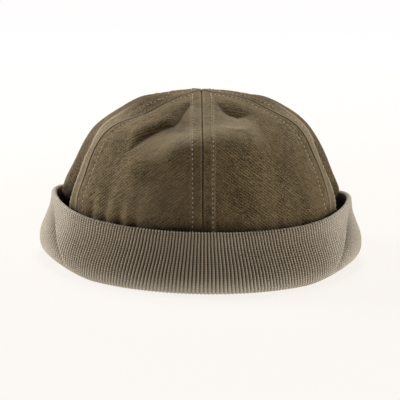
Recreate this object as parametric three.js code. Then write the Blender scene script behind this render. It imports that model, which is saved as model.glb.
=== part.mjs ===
// A six-panel cloth cap with a turned-up rib-knit cuff and no peak.
// Millimetres, +Z up, the front faces -Y. The cap stands on its cuff, whose fold lies on z = 0.
// An azimuth runs from the front (-Y) towards +X, in degrees.

import * as THREE from "three";

// Crown: the six cloth panels
const capHeight = 102.9;
const crownHalfWidth = 88.5;
const crownHalfLength = 96.5;
const crownSeamHeight = 20.9;
const crownTopAside = -1.4;
const clothWall = 1.6;
const pieceGap = 0.3;
const seamGroove = 0.9;
const seamGrooveHalfWidth = 2;
const seamDipAhead = 15;
const seamDipBehind = 6;
const puckerDepth = 1.3;
const puckerHalfWidth = 4.2;

// Cuff: one doubled knit band, sewn to the crown inside, folded at the bottom and turned up
const bandThick = 3.5;
const layerGap = 2.2;
const rimHeight = 34.7;
const rimSideRise = 2.4;
const rimSideClearance = 1.2;
const rimFrontClearance = 0.6;
const foldFlareSide = 7.2;
const foldFlareFront = 6.8;
const foldFlatDepth = 0.35;
const foldSideRise = 7;
const cuffLean = 0.5;

// Crease where each end of the cuff turns the corner, at the rim and how far it runs forward
const creaseDepth = 1.6;
const creaseAzimuth = 78;
const creaseTurn = 16;
const creaseHalfWidth = 9;

// Ribs on the turned-up face of the cuff, and how many degrees they swing forward at its ends
const ribPitch = 2;
const ribDepth = 0.55;
const ribSwing = 5;

// The plan is an oval with its fuller half at the back
const crownFullBack = 0.065;
const cuffFullBack = 0.075;

// Shares of a length: of the meridian, of the half width and of the cuff's height
const dipCentre = 0.29;
const topFade = 0.16;
const puckerFade = 0.1;
const puckerFull = 0.95;
const foldFlatShare = 0.55;
const ribFoot = 0.14;
const ribMiddle = 0.5;

// Mesh fineness
const ribsPerStation = 4;
const rimTurns = [0.75, 0.5, 0.25];
const foldTurns = [0.2, 0.4, 0.6, 0.8];

// What follows from the sizes above
const degree = Math.PI / 180;
const fullTurn = 2 * Math.PI;
const rimHalfWidth = crownHalfWidth + rimSideClearance + bandThick;
const rimHalfLength = crownHalfLength + rimFrontClearance + bandThick;
const foldHalfWidth = rimHalfWidth + foldFlareSide;
const foldHalfLength = rimHalfLength + foldFlareFront;
const foldRadius = bandThick + layerGap / 2;
const ribHead = 1 - bandThick / rimHeight;

// Seams between the panels. dip is how deep the cloth sinks at the shoulder on the seam's side
// towards the front or the back of the cap, and dipSpan is how far along the meridian that
// goes, as a share.
const seams = [
  { azimuth: 0.9, dip: 0.8, dipSpan: 0.12 },
  { azimuth: 68, dip: 4.2, dipSpan: 0.09 },
  { azimuth: 123, dip: 2.6, dipSpan: 0.1 },
  { azimuth: 180, dip: 1.2, dipSpan: 0.12 },
  { azimuth: 238, dip: 2.6, dipSpan: 0.1 },
  { azimuth: 297, dip: 6.6, dipSpan: 0.107 },
];

// Panels, each from one seam to the next, with its number of grid steps across and down
const panels = [
  { name: "panel_front_right", seam: 0, across: 18, down: 20 },
  { name: "panel_side_right", seam: 1, across: 12, down: 14 },
  { name: "panel_back_right", seam: 2, across: 12, down: 14 },
  { name: "panel_back_left", seam: 3, across: 12, down: 14 },
  { name: "panel_side_left", seam: 4, across: 12, down: 14 },
  { name: "panel_front_left", seam: 5, across: 18, down: 20 },
];

// Crown meridian: along is the share of its length from the top, out is the share of the
// half width or half length, and down is the share of the drop to the cuff seam
const meridian = [
  { along: 0, out: 0, down: 0 },
  { along: 0.13, out: 0.2, down: 0.004 },
  { along: 0.226, out: 0.35, down: 0.018 },
  { along: 0.278, out: 0.429, down: 0.038 },
  { along: 0.33, out: 0.504, down: 0.075 },
  { along: 0.377, out: 0.567, down: 0.115 },
  { along: 0.459, out: 0.672, down: 0.191 },
  { along: 0.528, out: 0.752, down: 0.27 },
  { along: 0.609, out: 0.822, down: 0.384 },
  { along: 0.711, out: 0.892, down: 0.537 },
  { along: 0.838, out: 0.962, down: 0.732 },
  { along: 1, out: 1, down: 1 },
];

// Folds and hollows pressed into the crown, each from one point of the cloth to another.
// depth and halfWidth are in millimetres, and a negative depth stands proud.
const crownFolds = [
  { azimuth1: -16, along1: 0.25, azimuth2: -17, along2: 0.39, depth: 2.6, halfWidth: 7 },
  { azimuth1: -18, along1: 0.42, azimuth2: -39, along2: 0.54, depth: 3, halfWidth: 8 },
  { azimuth1: -14, along1: 0.49, azimuth2: -30, along2: 0.6, depth: -1.6, halfWidth: 10 },
  { azimuth1: 23, along1: 0.22, azimuth2: 21, along2: 0.31, depth: 2, halfWidth: 6 },
  { azimuth1: 24, along1: 0.35, azimuth2: 38, along2: 0.38, depth: 2.4, halfWidth: 7 },
  { azimuth1: 18, along1: 0.44, azimuth2: 34, along2: 0.48, depth: -1.2, halfWidth: 8 },
  { azimuth1: -9, along1: 0.74, azimuth2: 10, along2: 0.74, depth: 1.8, halfWidth: 11 },
  { azimuth1: -75, along1: 0.3, azimuth2: -100, along2: 0.4, depth: 1.8, halfWidth: 28 },
  { azimuth1: 70, along1: 0.36, azimuth2: 100, along2: 0.42, depth: -1.8, halfWidth: 28 },
];

// Upright puckers where the cloth is eased into the cuff; from is where each one sets in
const puckers = [
  { azimuth: -52, from: 0.8 },
  { azimuth: -40, from: 0.82 },
  { azimuth: -27, from: 0.86 },
  { azimuth: 33, from: 0.86 },
  { azimuth: 47, from: 0.83 },
  { azimuth: 84, from: 0.86 },
  { azimuth: 108, from: 0.85 },
  { azimuth: 143, from: 0.85 },
  { azimuth: 163, from: 0.86 },
  { azimuth: -163, from: 0.86 },
  { azimuth: -143, from: 0.85 },
  { azimuth: -108, from: 0.85 },
  { azimuth: -84, from: 0.86 },
];

// How the turned-up face leans in from the fold to the rim: up is the share of the cuff's
// height, and lean is the share of the way from the fold's oval to the rim's
const cuffFace = [
  { up: 0, lean: 0 },
  { up: 0.12, lean: 0.02 },
  { up: 0.3, lean: 0.16 },
  { up: 0.5, lean: 0.45 },
  { up: 0.75, lean: 0.85 },
  { up: 1, lean: 1 },
];

const clothMaterial = new THREE.MeshStandardMaterial({
  name: "cotton_twill", color: 0x5a4c36, roughness: 0.92, metalness: 0, flatShading: true,
});
const knitMaterial = new THREE.MeshStandardMaterial({
  name: "rib_knit", color: 0x7b6f5b, roughness: 0.95, metalness: 0, flatShading: true,
});

const lerp = THREE.MathUtils.lerp;
const smoothstep = THREE.MathUtils.smoothstep;
const bell = (distance, halfWidth) => Math.exp(-((distance / halfWidth) ** 2));

// Reads a table of rows as a smooth curve through its points
function readTable(rows, key, value, at) {
  const above = rows.findIndex((row, index) => index > 0 && row[key] >= at);
  const last = above < 0 ? rows.length - 1 : above;
  const slope = (index) => {
    const before = rows[Math.max(index - 1, 0)];
    const after = rows[Math.min(index + 1, rows.length - 1)];
    return (after[value] - before[value]) / (after[key] - before[key]);
  };
  const start = rows[last - 1];
  const end = rows[last];
  const span = end[key] - start[key];
  const share = (at - start[key]) / span;
  const eased = share * share * (3 - 2 * share);
  const leaving = share * (1 - share) * (1 - share) * span * slope(last - 1);
  const arriving = share * share * (1 - share) * span * slope(last);
  return lerp(start[value], end[value], eased) + leaving - arriving;
}

// A point of an oval seen from above, fuller at the back
function ovalPoint(azimuth, halfWidth, halfLength, height, fullBack) {
  const side = Math.sin(azimuth) * (1 - fullBack * Math.cos(azimuth));
  return new THREE.Vector3(halfWidth * side, -halfLength * Math.cos(azimuth), height);
}

function angleBetween(a, b) {
  const turn = Math.abs(a - b) % fullTurn;
  return Math.min(turn, fullTurn - turn);
}

// The crown's plain dome, before any seam, fold or pucker
function domePoint(azimuth, along) {
  const out = readTable(meridian, "along", "out", along);
  const down = readTable(meridian, "along", "down", along);
  const height = capHeight - (capHeight - crownSeamHeight) * down;
  const halfWidth = crownHalfWidth * out;
  const halfLength = crownHalfLength * out;
  const point = ovalPoint(azimuth, halfWidth, halfLength, height, crownFullBack);
  point.x += crownTopAside * (1 - down);
  return point;
}

const foldLines = crownFolds.map((fold) => ({
  line: new THREE.Line3(
    domePoint(fold.azimuth1 * degree, fold.along1),
    domePoint(fold.azimuth2 * degree, fold.along2),
  ),
  depth: fold.depth,
  halfWidth: fold.halfWidth,
}));

// How far the cloth lies inside the plain dome
function crownDepth(azimuth, along) {
  const point = domePoint(azimuth, along);
  const radius = Math.hypot(point.x, point.y);
  const leaveTop = smoothstep(along, 0, topFade);
  const nearest = new THREE.Vector3();
  let depth = 0;
  for (const seam of seams) {
    const seamAzimuth = seam.azimuth * degree;
    const aside = angleBetween(azimuth, seamAzimuth) * radius;
    const behind = Math.abs(Math.sin(azimuth)) > Math.abs(Math.sin(seamAzimuth));
    const dip = seam.dip * bell(along - dipCentre, seam.dipSpan * Math.SQRT2);
    depth += dip * bell(aside, behind ? seamDipBehind : seamDipAhead) * leaveTop;
    depth += seamGroove * bell(aside, seamGrooveHalfWidth) * leaveTop;
  }
  for (const fold of foldLines) {
    fold.line.closestPointToPoint(point, true, nearest);
    depth += fold.depth * bell(nearest.distanceTo(point), fold.halfWidth);
  }
  for (const pucker of puckers) {
    const aside = angleBetween(azimuth, pucker.azimuth * degree) * radius;
    const grown = smoothstep(along, pucker.from - puckerFade, puckerFull);
    depth += puckerDepth * bell(aside, puckerHalfWidth) * grown;
  }
  return depth;
}

function domeNormal(azimuth, along) {
  const step = 0.002;
  const higher = Math.max(along - step, step);
  const lower = Math.min(along + step, 1);
  const across = domePoint(azimuth + step, along).sub(domePoint(azimuth - step, along));
  const down = domePoint(azimuth, lower).sub(domePoint(azimuth, higher));
  return down.cross(across).normalize();
}

function crownPoint(azimuth, along, inside) {
  const sunk = crownDepth(azimuth, along) + inside;
  return domePoint(azimuth, along).addScaledVector(domeNormal(azimuth, along), -sunk);
}

function makeMesh(name, points, triangles, material) {
  const geometry = new THREE.BufferGeometry().setFromPoints(points);
  geometry.setIndex(triangles);
  geometry.computeVertexNormals();
  const mesh = new THREE.Mesh(geometry, material);
  mesh.name = name;
  return mesh;
}

// One cloth panel: an outer and an inner grid that run from a tip at the top to the cuff seam
function makePanel({ name, seam, across, down }) {
  const first = seams[seam].azimuth * degree;
  const next = seams[(seam + 1) % seams.length].azimuth * degree;
  const span = (next - first + fullTurn) % fullTurn;
  const trimWidth = pieceGap / 2;
  const tipRadius = trimWidth / Math.sin(span / 2);
  const tipAlong = tipRadius / crownHalfWidth * meridian[1].along / meridian[1].out;
  const outer = [crownPoint(first + span / 2, tipAlong, 0)];
  const inner = [outer[0].clone().setZ(outer[0].z - clothWall)];
  for (let row = 1; row <= down; row += 1) {
    const along = lerp(tipAlong, 1, row / down);
    for (let column = 0; column <= across; column += 1) {
      const share = (1 - Math.cos(Math.PI * column / across)) / 2;
      const centre = domePoint(first + span * share, along);
      const trim = trimWidth / Math.hypot(centre.x, centre.y);
      const azimuth = lerp(first + trim, first + span - trim, share);
      const onFace = crownPoint(azimuth, along, 0);
      const behind = crownPoint(azimuth, along, clothWall);
      if (row === down) {
        onFace.setZ(crownSeamHeight);
        behind.setZ(crownSeamHeight);
      }
      outer.push(onFace);
      inner.push(behind);
    }
  }
  const at = (row, column) => (row === 0 ? 0 : 1 + (row - 1) * (across + 1) + column);
  const inside = (row, column) => at(row, column) + outer.length;
  const triangles = [];
  const quad = (a, b, c, d) => {
    if (a !== b) {
      triangles.push(a, c, b);
    }
    triangles.push(b, c, d);
  };
  for (let row = 0; row < down; row += 1) {
    for (let column = 0; column < across; column += 1) {
      const right = column + 1;
      const below = row + 1;
      quad(at(row, column), at(row, right), at(below, column), at(below, right));
      quad(inside(row, right), inside(row, column), inside(below, right), inside(below, column));
    }
    quad(inside(row, 0), at(row, 0), inside(row + 1, 0), at(row + 1, 0));
    quad(at(row, across), inside(row, across), at(row + 1, across), inside(row + 1, across));
  }
  for (let column = 0; column < across; column += 1) {
    const right = column + 1;
    quad(at(down, column), at(down, right), inside(down, column), inside(down, right));
  }
  return makeMesh(name, [...outer, ...inner], triangles, clothMaterial);
}

// Height of the fold's underside above the surface
function foldLift(azimuth) {
  const aside = Math.abs(Math.sin(azimuth));
  const share = Math.max(aside - foldFlatShare, 0) / (1 - foldFlatShare);
  return foldSideRise * share * share * (2 - share);
}

function rimTop(azimuth) {
  const side = Math.sin(azimuth);
  return rimHeight + rimSideRise * side * side - cuffLean * side;
}

// The ribs swing forward on their way down to the fold, near both ends of the cap
function swungAzimuth(azimuth, share) {
  const nearEnds = Math.sin(azimuth) ** 2 * Math.sin(2 * azimuth);
  return azimuth - ribSwing * degree * nearEnds * share;
}

function creaseProud(azimuth, up) {
  const fromFront = angleBetween(azimuth, 0) / degree;
  const ridge = creaseAzimuth - creaseTurn * (1 - up);
  return creaseDepth * bell(fromFront - ridge, creaseHalfWidth) * Math.sin(Math.PI * up);
}

// A point on the turned-up face, inset towards the middle of the cap
function facePoint(azimuth, up, inset) {
  const lean = readTable(cuffFace, "up", "lean", up);
  const proud = creaseProud(azimuth, up) - inset;
  const halfWidth = lerp(foldHalfWidth, rimHalfWidth, lean) + proud;
  const halfLength = lerp(foldHalfLength, rimHalfLength, lean) + proud;
  const height = lerp(foldLift(azimuth), rimTop(azimuth), up);
  const swung = swungAzimuth(azimuth, 1 - up);
  return ovalPoint(swung, halfWidth, halfLength, height, cuffFullBack);
}

// The rounded rim: turn goes from the outer face over the top to the inner face
function rimPoint(azimuth, turn) {
  const radius = bandThick / 2;
  const point = facePoint(azimuth, 1, radius * (1 - Math.cos(turn)));
  point.z += radius * (Math.sin(turn) - 1);
  return point;
}

// The folded edge: turn goes from its outermost point under the cuff to its innermost,
// on the outside of the fold or the wall's thickness inside it
function foldPoint(azimuth, turn, inside) {
  const reach = foldRadius - inside;
  const point = facePoint(azimuth, 0, foldRadius - reach * Math.cos(turn));
  const flat = inside > 0 ? 0 : foldFlatDepth;
  const underside = foldRadius - reach * Math.sin(turn) - flat;
  point.z += Math.max(underside, 0);
  return point;
}

// The inner layer, from the fold up to the crown: onCrown 0 faces the head, 1 the cuff
function innerLayerPoint(azimuth, share, onCrown) {
  const low = foldPoint(azimuth, Math.PI, onCrown * bandThick);
  low.z = foldLift(azimuth) + foldRadius - foldFlatDepth;
  const inset = bandThick * (1 - onCrown);
  const halfWidth = crownHalfWidth - inset;
  const halfLength = crownHalfLength - inset;
  const top = crownSeamHeight - pieceGap;
  const high = ovalPoint(azimuth, halfWidth, halfLength, top, crownFullBack);
  return low.lerp(high, share);
}

// Closed rings round the cap, in order round the band's section
function cuffRings(ribCount) {
  const ring = (count, pointAt) => Array.from(
    { length: count },
    (_, index) => pointAt(fullTurn * index / count, index),
  );
  const plainRing = (pointAt) => ring(ribCount * 2 / (ribsPerStation * 2), pointAt);
  const ribbedRing = (up) => ring(
    ribCount * 2,
    (azimuth, index) => facePoint(azimuth, up, ribDepth * (index % 2)),
  );
  const faceUps = [ribHead, ribMiddle, ribFoot];
  return [
    ...rimTurns.map((turn) => plainRing((azimuth) => rimPoint(azimuth, Math.PI * turn))),
    ...faceUps.map(ribbedRing),
    ...foldTurns.map((turn) => plainRing((azimuth) => foldPoint(azimuth, Math.PI * turn, 0))),
    plainRing((azimuth) => innerLayerPoint(azimuth, 0, 0)),
    plainRing((azimuth) => innerLayerPoint(azimuth, 1, 0)),
    plainRing((azimuth) => innerLayerPoint(azimuth, 1, 1)),
    plainRing((azimuth) => innerLayerPoint(azimuth, 0, 1)),
    plainRing((azimuth) => foldPoint(azimuth, Math.PI / 2, bandThick)),
    ...faceUps.reverse().map((up) => plainRing((azimuth) => facePoint(azimuth, up, bandThick))),
  ];
}

// Joins two neighbouring rings, where one may have a whole multiple of the other's points
function joinRings(triangles, startA, countA, startB, countB) {
  const steps = Math.min(countA, countB);
  const finerA = countA / steps;
  const finerB = countB / steps;
  for (let step = 0; step < steps; step += 1) {
    const a = (index) => startA + (step * finerA + index) % countA;
    const b = (index) => startB + (step * finerB + index) % countB;
    let onA = 0;
    let onB = 0;
    while (onA < finerA || onB < finerB) {
      if ((onA + 0.5) / finerA <= (onB + 0.5) / finerB) {
        triangles.push(a(onA), b(onB), a(onA + 1));
        onA += 1;
      } else {
        triangles.push(a(onA), b(onB), b(onB + 1));
        onB += 1;
      }
    }
  }
}

function makeCuff() {
  const girth = Math.PI * (rimHalfWidth + rimHalfLength);
  const ribCount = ribsPerStation * Math.round(girth / (ribsPerStation * ribPitch));
  const rings = cuffRings(ribCount);
  const starts = [];
  const points = [];
  for (const ring of rings) {
    starts.push(points.length);
    points.push(...ring);
  }
  const triangles = [];
  rings.forEach((ring, index) => {
    const after = (index + 1) % rings.length;
    joinRings(triangles, starts[index], ring.length, starts[after], rings[after].length);
  });
  return makeMesh("rib_cuff", points, triangles, knitMaterial);
}

const group = new THREE.Group();
for (const panel of panels) {
  group.add(makePanel(panel));
}
group.add(makeCuff());

export default group;
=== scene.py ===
import math

import bpy
import numpy as np
from mathutils import Matrix, Vector


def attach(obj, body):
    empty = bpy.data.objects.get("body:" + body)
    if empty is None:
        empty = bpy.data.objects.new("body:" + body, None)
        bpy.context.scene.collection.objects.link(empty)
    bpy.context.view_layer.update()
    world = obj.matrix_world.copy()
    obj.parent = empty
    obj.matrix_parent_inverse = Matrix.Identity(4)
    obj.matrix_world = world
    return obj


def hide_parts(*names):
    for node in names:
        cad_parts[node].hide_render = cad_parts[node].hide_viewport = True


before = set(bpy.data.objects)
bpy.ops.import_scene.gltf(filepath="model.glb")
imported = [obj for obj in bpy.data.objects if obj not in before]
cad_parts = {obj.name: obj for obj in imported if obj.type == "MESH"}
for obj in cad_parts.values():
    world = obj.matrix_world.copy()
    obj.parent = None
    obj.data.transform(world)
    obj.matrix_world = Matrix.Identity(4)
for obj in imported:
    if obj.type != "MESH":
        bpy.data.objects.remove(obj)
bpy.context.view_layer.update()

# A six-panel cloth cap on a turned-up rib cuff. Shapes are worked out in millimetres,
# and meshes are made in metres. An azimuth runs from the front (-Y) towards +X, in degrees.
millimetre = 0.001
fullTurn = 2 * math.pi

# Camera first, at the photograph's angle
photoView = {
    "distance": 0.95,
    "elevation": 10,
    "targetHeight": 0.0354,
    "lens": 137.6,
    "aside": -0.0009,
    "roll": 1.2,  # the photograph leans a little
}


def addCamera(view):
    tilt = math.radians(view["elevation"])
    data = bpy.data.cameras.new("photoCamera")
    data.lens = view["lens"]
    data.sensor_width = 36
    camera = bpy.data.objects.new("photoCamera", data)
    bpy.context.scene.collection.objects.link(camera)
    back = Vector((0, -math.cos(tilt), math.sin(tilt))) * view["distance"]
    place = Matrix.Translation(back + Vector((view["aside"], 0, view["targetHeight"])))
    pitch = Matrix.Rotation(math.pi / 2 - tilt, 4, "X")
    camera.matrix_world = place @ pitch @ Matrix.Rotation(math.radians(view["roll"]), 4, "Z")
    bpy.context.scene.camera = camera


addCamera(photoView)
print("camera is in place")


# Node trees: an expression on Wires adds its Math nodes
class Wire:
    def __init__(self, maker, socket):
        self.maker = maker
        self.socket = socket

    def pair(self, operation, first, second):
        return self.maker.node("ShaderNodeMath", {"operation": operation}, {0: first, 1: second})

    def __add__(self, other):
        return self.pair("ADD", self, other)

    def __radd__(self, other):
        return self.pair("ADD", other, self)

    def __sub__(self, other):
        return self.pair("SUBTRACT", self, other)

    def __rsub__(self, other):
        return self.pair("SUBTRACT", other, self)

    def __mul__(self, other):
        return self.pair("MULTIPLY", self, other)

    def __rmul__(self, other):
        return self.pair("MULTIPLY", other, self)

    def __truediv__(self, other):
        return self.pair("DIVIDE", self, other)

    def __pow__(self, other):
        return self.pair("POWER", self, other)

    def single(self, operation):
        return self.maker.node("ShaderNodeMath", {"operation": operation}, {0: self})

    def out(self, name):  # another output of the same node
        return Wire(self.maker, self.socket.node.outputs[name])


class NodeMaker:
    def __init__(self, tree):
        self.tree = tree

    def node(self, kind, settings=None, sockets=None, output=0):
        made = self.tree.nodes.new(kind)
        for name, value in (settings or {}).items():
            if name == "stops":
                self.setStops(made.color_ramp, value)
            else:
                setattr(made, name, value)
        for name, value in (sockets or {}).items():
            if isinstance(value, Wire):
                self.tree.links.new(value.socket, made.inputs[name])
            else:
                made.inputs[name].default_value = value
        return Wire(self, made.outputs[output]) if made.outputs else made

    def setStops(self, ramp, stops):
        while len(ramp.elements) < len(stops):
            ramp.elements.new(0.5)
        for element, (position, shade) in zip(ramp.elements, stops):
            element.position = position
            element.color = (shade, shade, shade, 1)

    def blendColours(self, factor, first, second, way="MIX"):
        settings = {"data_type": "RGBA", "blend_type": way, "clamp_factor": True}
        sockets = {"Factor": factor, 6: first, 7: second}
        return self.node("ShaderNodeMix", settings, sockets, output=2)

    def noise(self, where, scale, detail=2.0, roughness=0.5):
        sockets = {"Vector": where, "Scale": scale, "Detail": detail, "Roughness": roughness}
        return self.node("ShaderNodeTexNoise", None, sockets)

    def rampOf(self, value, stops):
        return self.node("ShaderNodeValToRGB", {"stops": stops}, {"Fac": value})

    def attribute(self, name):
        return self.node("ShaderNodeAttribute", {"attribute_name": name}).out("Fac")


def newMaterial(name):
    material = bpy.data.materials.new(name)
    material.use_nodes = True
    material.node_tree.nodes.clear()
    return material, NodeMaker(material.node_tree)


def finishMaterial(make, colour, roughness, bumps, gloss, sheen):
    normal = None
    for height, depth in bumps:
        sockets = {"Strength": 1.0, "Distance": depth * millimetre, "Height": height}
        if normal:
            sockets["Normal"] = normal
        normal = make.node("ShaderNodeBump", None, sockets)
    shader = make.node("ShaderNodeBsdfPrincipled", None, {
        "Base Color": colour,
        "Roughness": roughness,
        "Normal": normal,
        "Specular IOR Level": gloss,
        "Sheen Weight": sheen["weight"],
        "Sheen Roughness": sheen["roughness"],
        "Sheen Tint": sheen["tint"],
    })
    make.node("ShaderNodeOutputMaterial", None, {"Surface": shader})


# Cotton twill of the crown, drawn on each panel's own map, in metres
twill = {
    "linePitch": 1.5,  # millimetres between two twill lines
    "lineSlope": 36,  # degrees from the panel's width
    "yarnPitch": 0.45,
    "lineDepth": 0.06,
    "yarnDepth": 0.05,
    "dark": (0.026, 0.0155, 0.0055, 1),
    "light": (0.300, 0.216, 0.104, 1),
    "warm": (0.125, 0.078, 0.030, 1),
    # pale of seam wear, also used for painted highlights
    "paleWearAndHighlight": (0.370, 0.298, 0.195, 1),
    # dark of the seam line, also used for painted shade
    "seam": (0.011, 0.006, 0.002, 1),
    "gloss": 0.2,
    "roughness": 0.82,
    "sheen": {"weight": 0.14, "roughness": 0.5, "tint": (0.76, 0.64, 0.44, 1)},
}


def makeTwill(name, slopeSign):
    material, make = newMaterial(name)
    place = make.node("ShaderNodeUVMap", {"uv_map": "clothMap"})
    parts = make.node("ShaderNodeSeparateXYZ", None, {0: place})
    across = parts
    along = parts.out("Y")
    slope = math.radians(twill["lineSlope"])
    pitch = twill["linePitch"] * millimetre
    wander = make.noise(place, 160.0, 3.0) * 0.9
    plain = make.rampOf(make.noise(place, 60.0, 3.0, 0.6), [(0.36, 0.35), (0.62, 1.0)])
    acrossLines = across * (math.sin(slope) * slopeSign) + along * math.cos(slope)
    alongLines = across * math.cos(slope) - along * (math.sin(slope) * slopeSign)
    line = (acrossLines * (fullTurn / pitch) + wander * 4).single("SINE") * 0.5 + 0.5
    streakPlace = make.node("ShaderNodeCombineXYZ", None, {0: acrossLines, 1: alongLines * 0.3})
    streak = make.rampOf(make.noise(streakPlace, 620.0, 2.0, 0.6), [(0.3, 0.0), (0.7, 1.0)])
    yarnTurn = fullTurn / (twill["yarnPitch"] * millimetre)
    warp = (across * yarnTurn).single("SINE") * 0.5 + 0.5
    weft = (along * yarnTurn).single("SINE") * 0.5 + 0.5
    yarn = warp * weft
    broad = make.noise(place, 28.0, 4.0, 0.6)
    slub = make.noise(place, 900.0, 2.0, 0.7)
    grain = make.noise(place, 1500.0, 1.0, 0.6)
    ridge = (line * 0.55 + 0.3) * (streak * 0.9 + 0.3) * (plain * 0.6 + 0.4)
    shade = ridge * 1.05 + (slub - 0.5) * 1.4 + (grain - 0.5) * 1.8 + yarn * 0.08 + 0.09
    cloth = make.blendColours(make.rampOf(shade, [(0.12, 0.0), (0.95, 1.0)]), twill["dark"], twill["light"])
    tone = make.rampOf(broad, [(0.35, 0.0), (0.7, 0.55)])
    cloth = make.blendColours(tone, cloth, twill["warm"])
    # wear along the seams, and painted highlights on the allowances, their edges, crease shelves and bright spots
    edge = make.attribute("seamWear")
    cloth = make.blendColours(edge * 0.55, cloth, twill["paleWearAndHighlight"])
    # the dark seam line, and painted shade in the pocket, beside the cuff's rim, on crease walls and in darker spots
    cloth = make.blendColours(make.attribute("seamShade"), cloth, twill["seam"])
    roughness = twill["roughness"] + slub * 0.14
    bumps = [(line, twill["lineDepth"]), (yarn + slub * 1.5, twill["yarnDepth"])]
    finishMaterial(make, cloth, roughness, bumps, twill["gloss"], twill["sheen"])
    return material


# Rib knit of the cuff. Its map counts ribs across and loops along.
knit = {
    "dark": (0.020, 0.011, 0.004, 1),
    "light": (0.605, 0.496, 0.348, 1),
    "pale": (0.760, 0.665, 0.525, 1),
    "loopDepth": 0.22,
    "fuzzDepth": 0.12,
    "gloss": 0.25,
    "sheen": {"weight": 0.1, "roughness": 0.45, "tint": (0.85, 0.80, 0.70, 1)},
}


def makeKnit():
    material, make = newMaterial("ribKnit")
    place = make.node("ShaderNodeUVMap", {"uv_map": "knitMap"})
    parts = make.node("ShaderNodeSeparateXYZ", None, {0: place})
    rib = parts.single("FRACT")
    loop = parts.out("Y")
    aside = (rib - 0.5).single("ABSOLUTE")
    chevron = ((loop + aside * 1.1) * fullTurn).single("SINE") * 0.5 + 0.5
    groove = make.attribute("groove")
    body = make.node("ShaderNodeTexCoord").out("Object")
    fuzz = make.noise(body, 1400.0, 2.0, 0.7)
    broad = make.noise(body, 30.0, 3.0, 0.55)
    stretched = make.attribute("stretched")
    # the knit is paler where stretched at the ends, and painted light low on the band
    paler = make.rampOf(broad, [(0.3, 0.0), (0.75, 0.35)]) + stretched * 0.9
    crest = make.blendColours(paler, knit["light"], knit["pale"])
    speck = make.rampOf(fuzz * 0.65 + chevron * 0.35, [(0.25, 0.48), (0.75, 1.0)])
    crest = make.blendColours(1.0, crest, speck, "MULTIPLY")
    # painted shade in the rib grooves
    cloth = make.blendColours(groove, crest, knit["dark"])
    # painted shade inside the band, over its rim and in the hollows behind the creases
    cloth = make.blendColours(make.attribute("reverse"), cloth, knit["dark"])
    roughness = 0.84 + fuzz * 0.12
    bumps = [(chevron * (1 - groove), knit["loopDepth"]), (fuzz, knit["fuzzDepth"])]
    finishMaterial(make, cloth, roughness, bumps, knit["gloss"], knit["sheen"])
    return material


thread = {
    "colour": (0.80, 0.74, 0.58, 1),
    "shade": (0.42, 0.37, 0.27, 1),
    "twistPitch": 0.5,
    "twistDepth": 0.08,
    "gloss": 0.3,
    "sheen": {"weight": 0.2, "roughness": 0.4, "tint": (0.9, 0.85, 0.7, 1)},
}


def makeThread():
    material, make = newMaterial("topstitchThread")
    body = make.node("ShaderNodeTexCoord").out("Object")
    parts = make.node("ShaderNodeSeparateXYZ", None, {0: body})
    turn = fullTurn / (thread["twistPitch"] * millimetre)
    twist = ((parts + parts.out("Y") + parts.out("Z")) * turn).single("SINE") * 0.5 + 0.5
    fibre = make.noise(body, 2200.0, 2.0)
    colour = make.blendColours(twist * 0.5 + fibre * 0.4, thread["shade"], thread["colour"])
    bumps = [(twist, thread["twistDepth"])]
    finishMaterial(make, colour, 0.6 + fibre * 0.2, bumps, thread["gloss"], thread["sheen"])
    return material


twillLeaningRight = makeTwill("cottonTwillLeaningRight", -1)
twillLeaningLeft = makeTwill("cottonTwillLeaningLeft", 1)
ribKnit = makeKnit()
topstitchThread = makeThread()
print("materials are made")


# Shape helpers, on whole arrays of points at once
def readRows(rows, key, value, at):
    keys = np.array([row[key] for row in rows], float)
    values = np.array([row[value] for row in rows], float)
    before = np.concatenate(([0], np.arange(len(rows) - 1)))
    after = np.concatenate((np.arange(1, len(rows)), [len(rows) - 1]))
    slopes = (values[after] - values[before]) / (keys[after] - keys[before])
    last = np.clip(np.searchsorted(keys, at), 1, len(rows) - 1)
    span = keys[last] - keys[last - 1]
    share = (at - keys[last - 1]) / span
    eased = share * share * (3 - 2 * share)
    leaving = share * (1 - share) ** 2 * span * slopes[last - 1]
    arriving = share ** 2 * (1 - share) * span * slopes[last]
    return values[last - 1] + (values[last] - values[last - 1]) * eased + leaving - arriving


def smoothStep(value, low, high):
    share = np.clip((value - low) / (high - low), 0, 1)
    return share * share * (3 - 2 * share)


def bell(distance, halfWidth):
    return np.exp(-((distance / halfWidth) ** 2))


def mix(first, second, share):
    return first + (second - first) * share


def ovalPoint(azimuth, halfWidth, halfLength, height, fullBack):
    x = halfWidth * np.sin(azimuth) * (1 - fullBack * np.cos(azimuth))
    y = -halfLength * np.cos(azimuth)
    return np.stack(np.broadcast_arrays(x, y, height), axis=-1)


def angleBetween(first, second):
    turn = np.abs(first - second) % fullTurn
    return np.minimum(turn, fullTurn - turn)


def unit(vectors):
    return vectors / np.linalg.norm(vectors, axis=-1, keepdims=True)


def ripple(points, wavelength, waves, seed):  # soft random waves through space, about -1 to 1
    chance = np.random.default_rng(seed)
    total = np.zeros(points.shape[:-1])
    for _ in range(waves):
        direction = unit(chance.normal(size=3))
        length = wavelength * chance.uniform(0.75, 1.35)
        total += np.sin(points @ direction * (fullTurn / length) + chance.uniform(0, fullTurn))
    return total / math.sqrt(waves)


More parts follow.
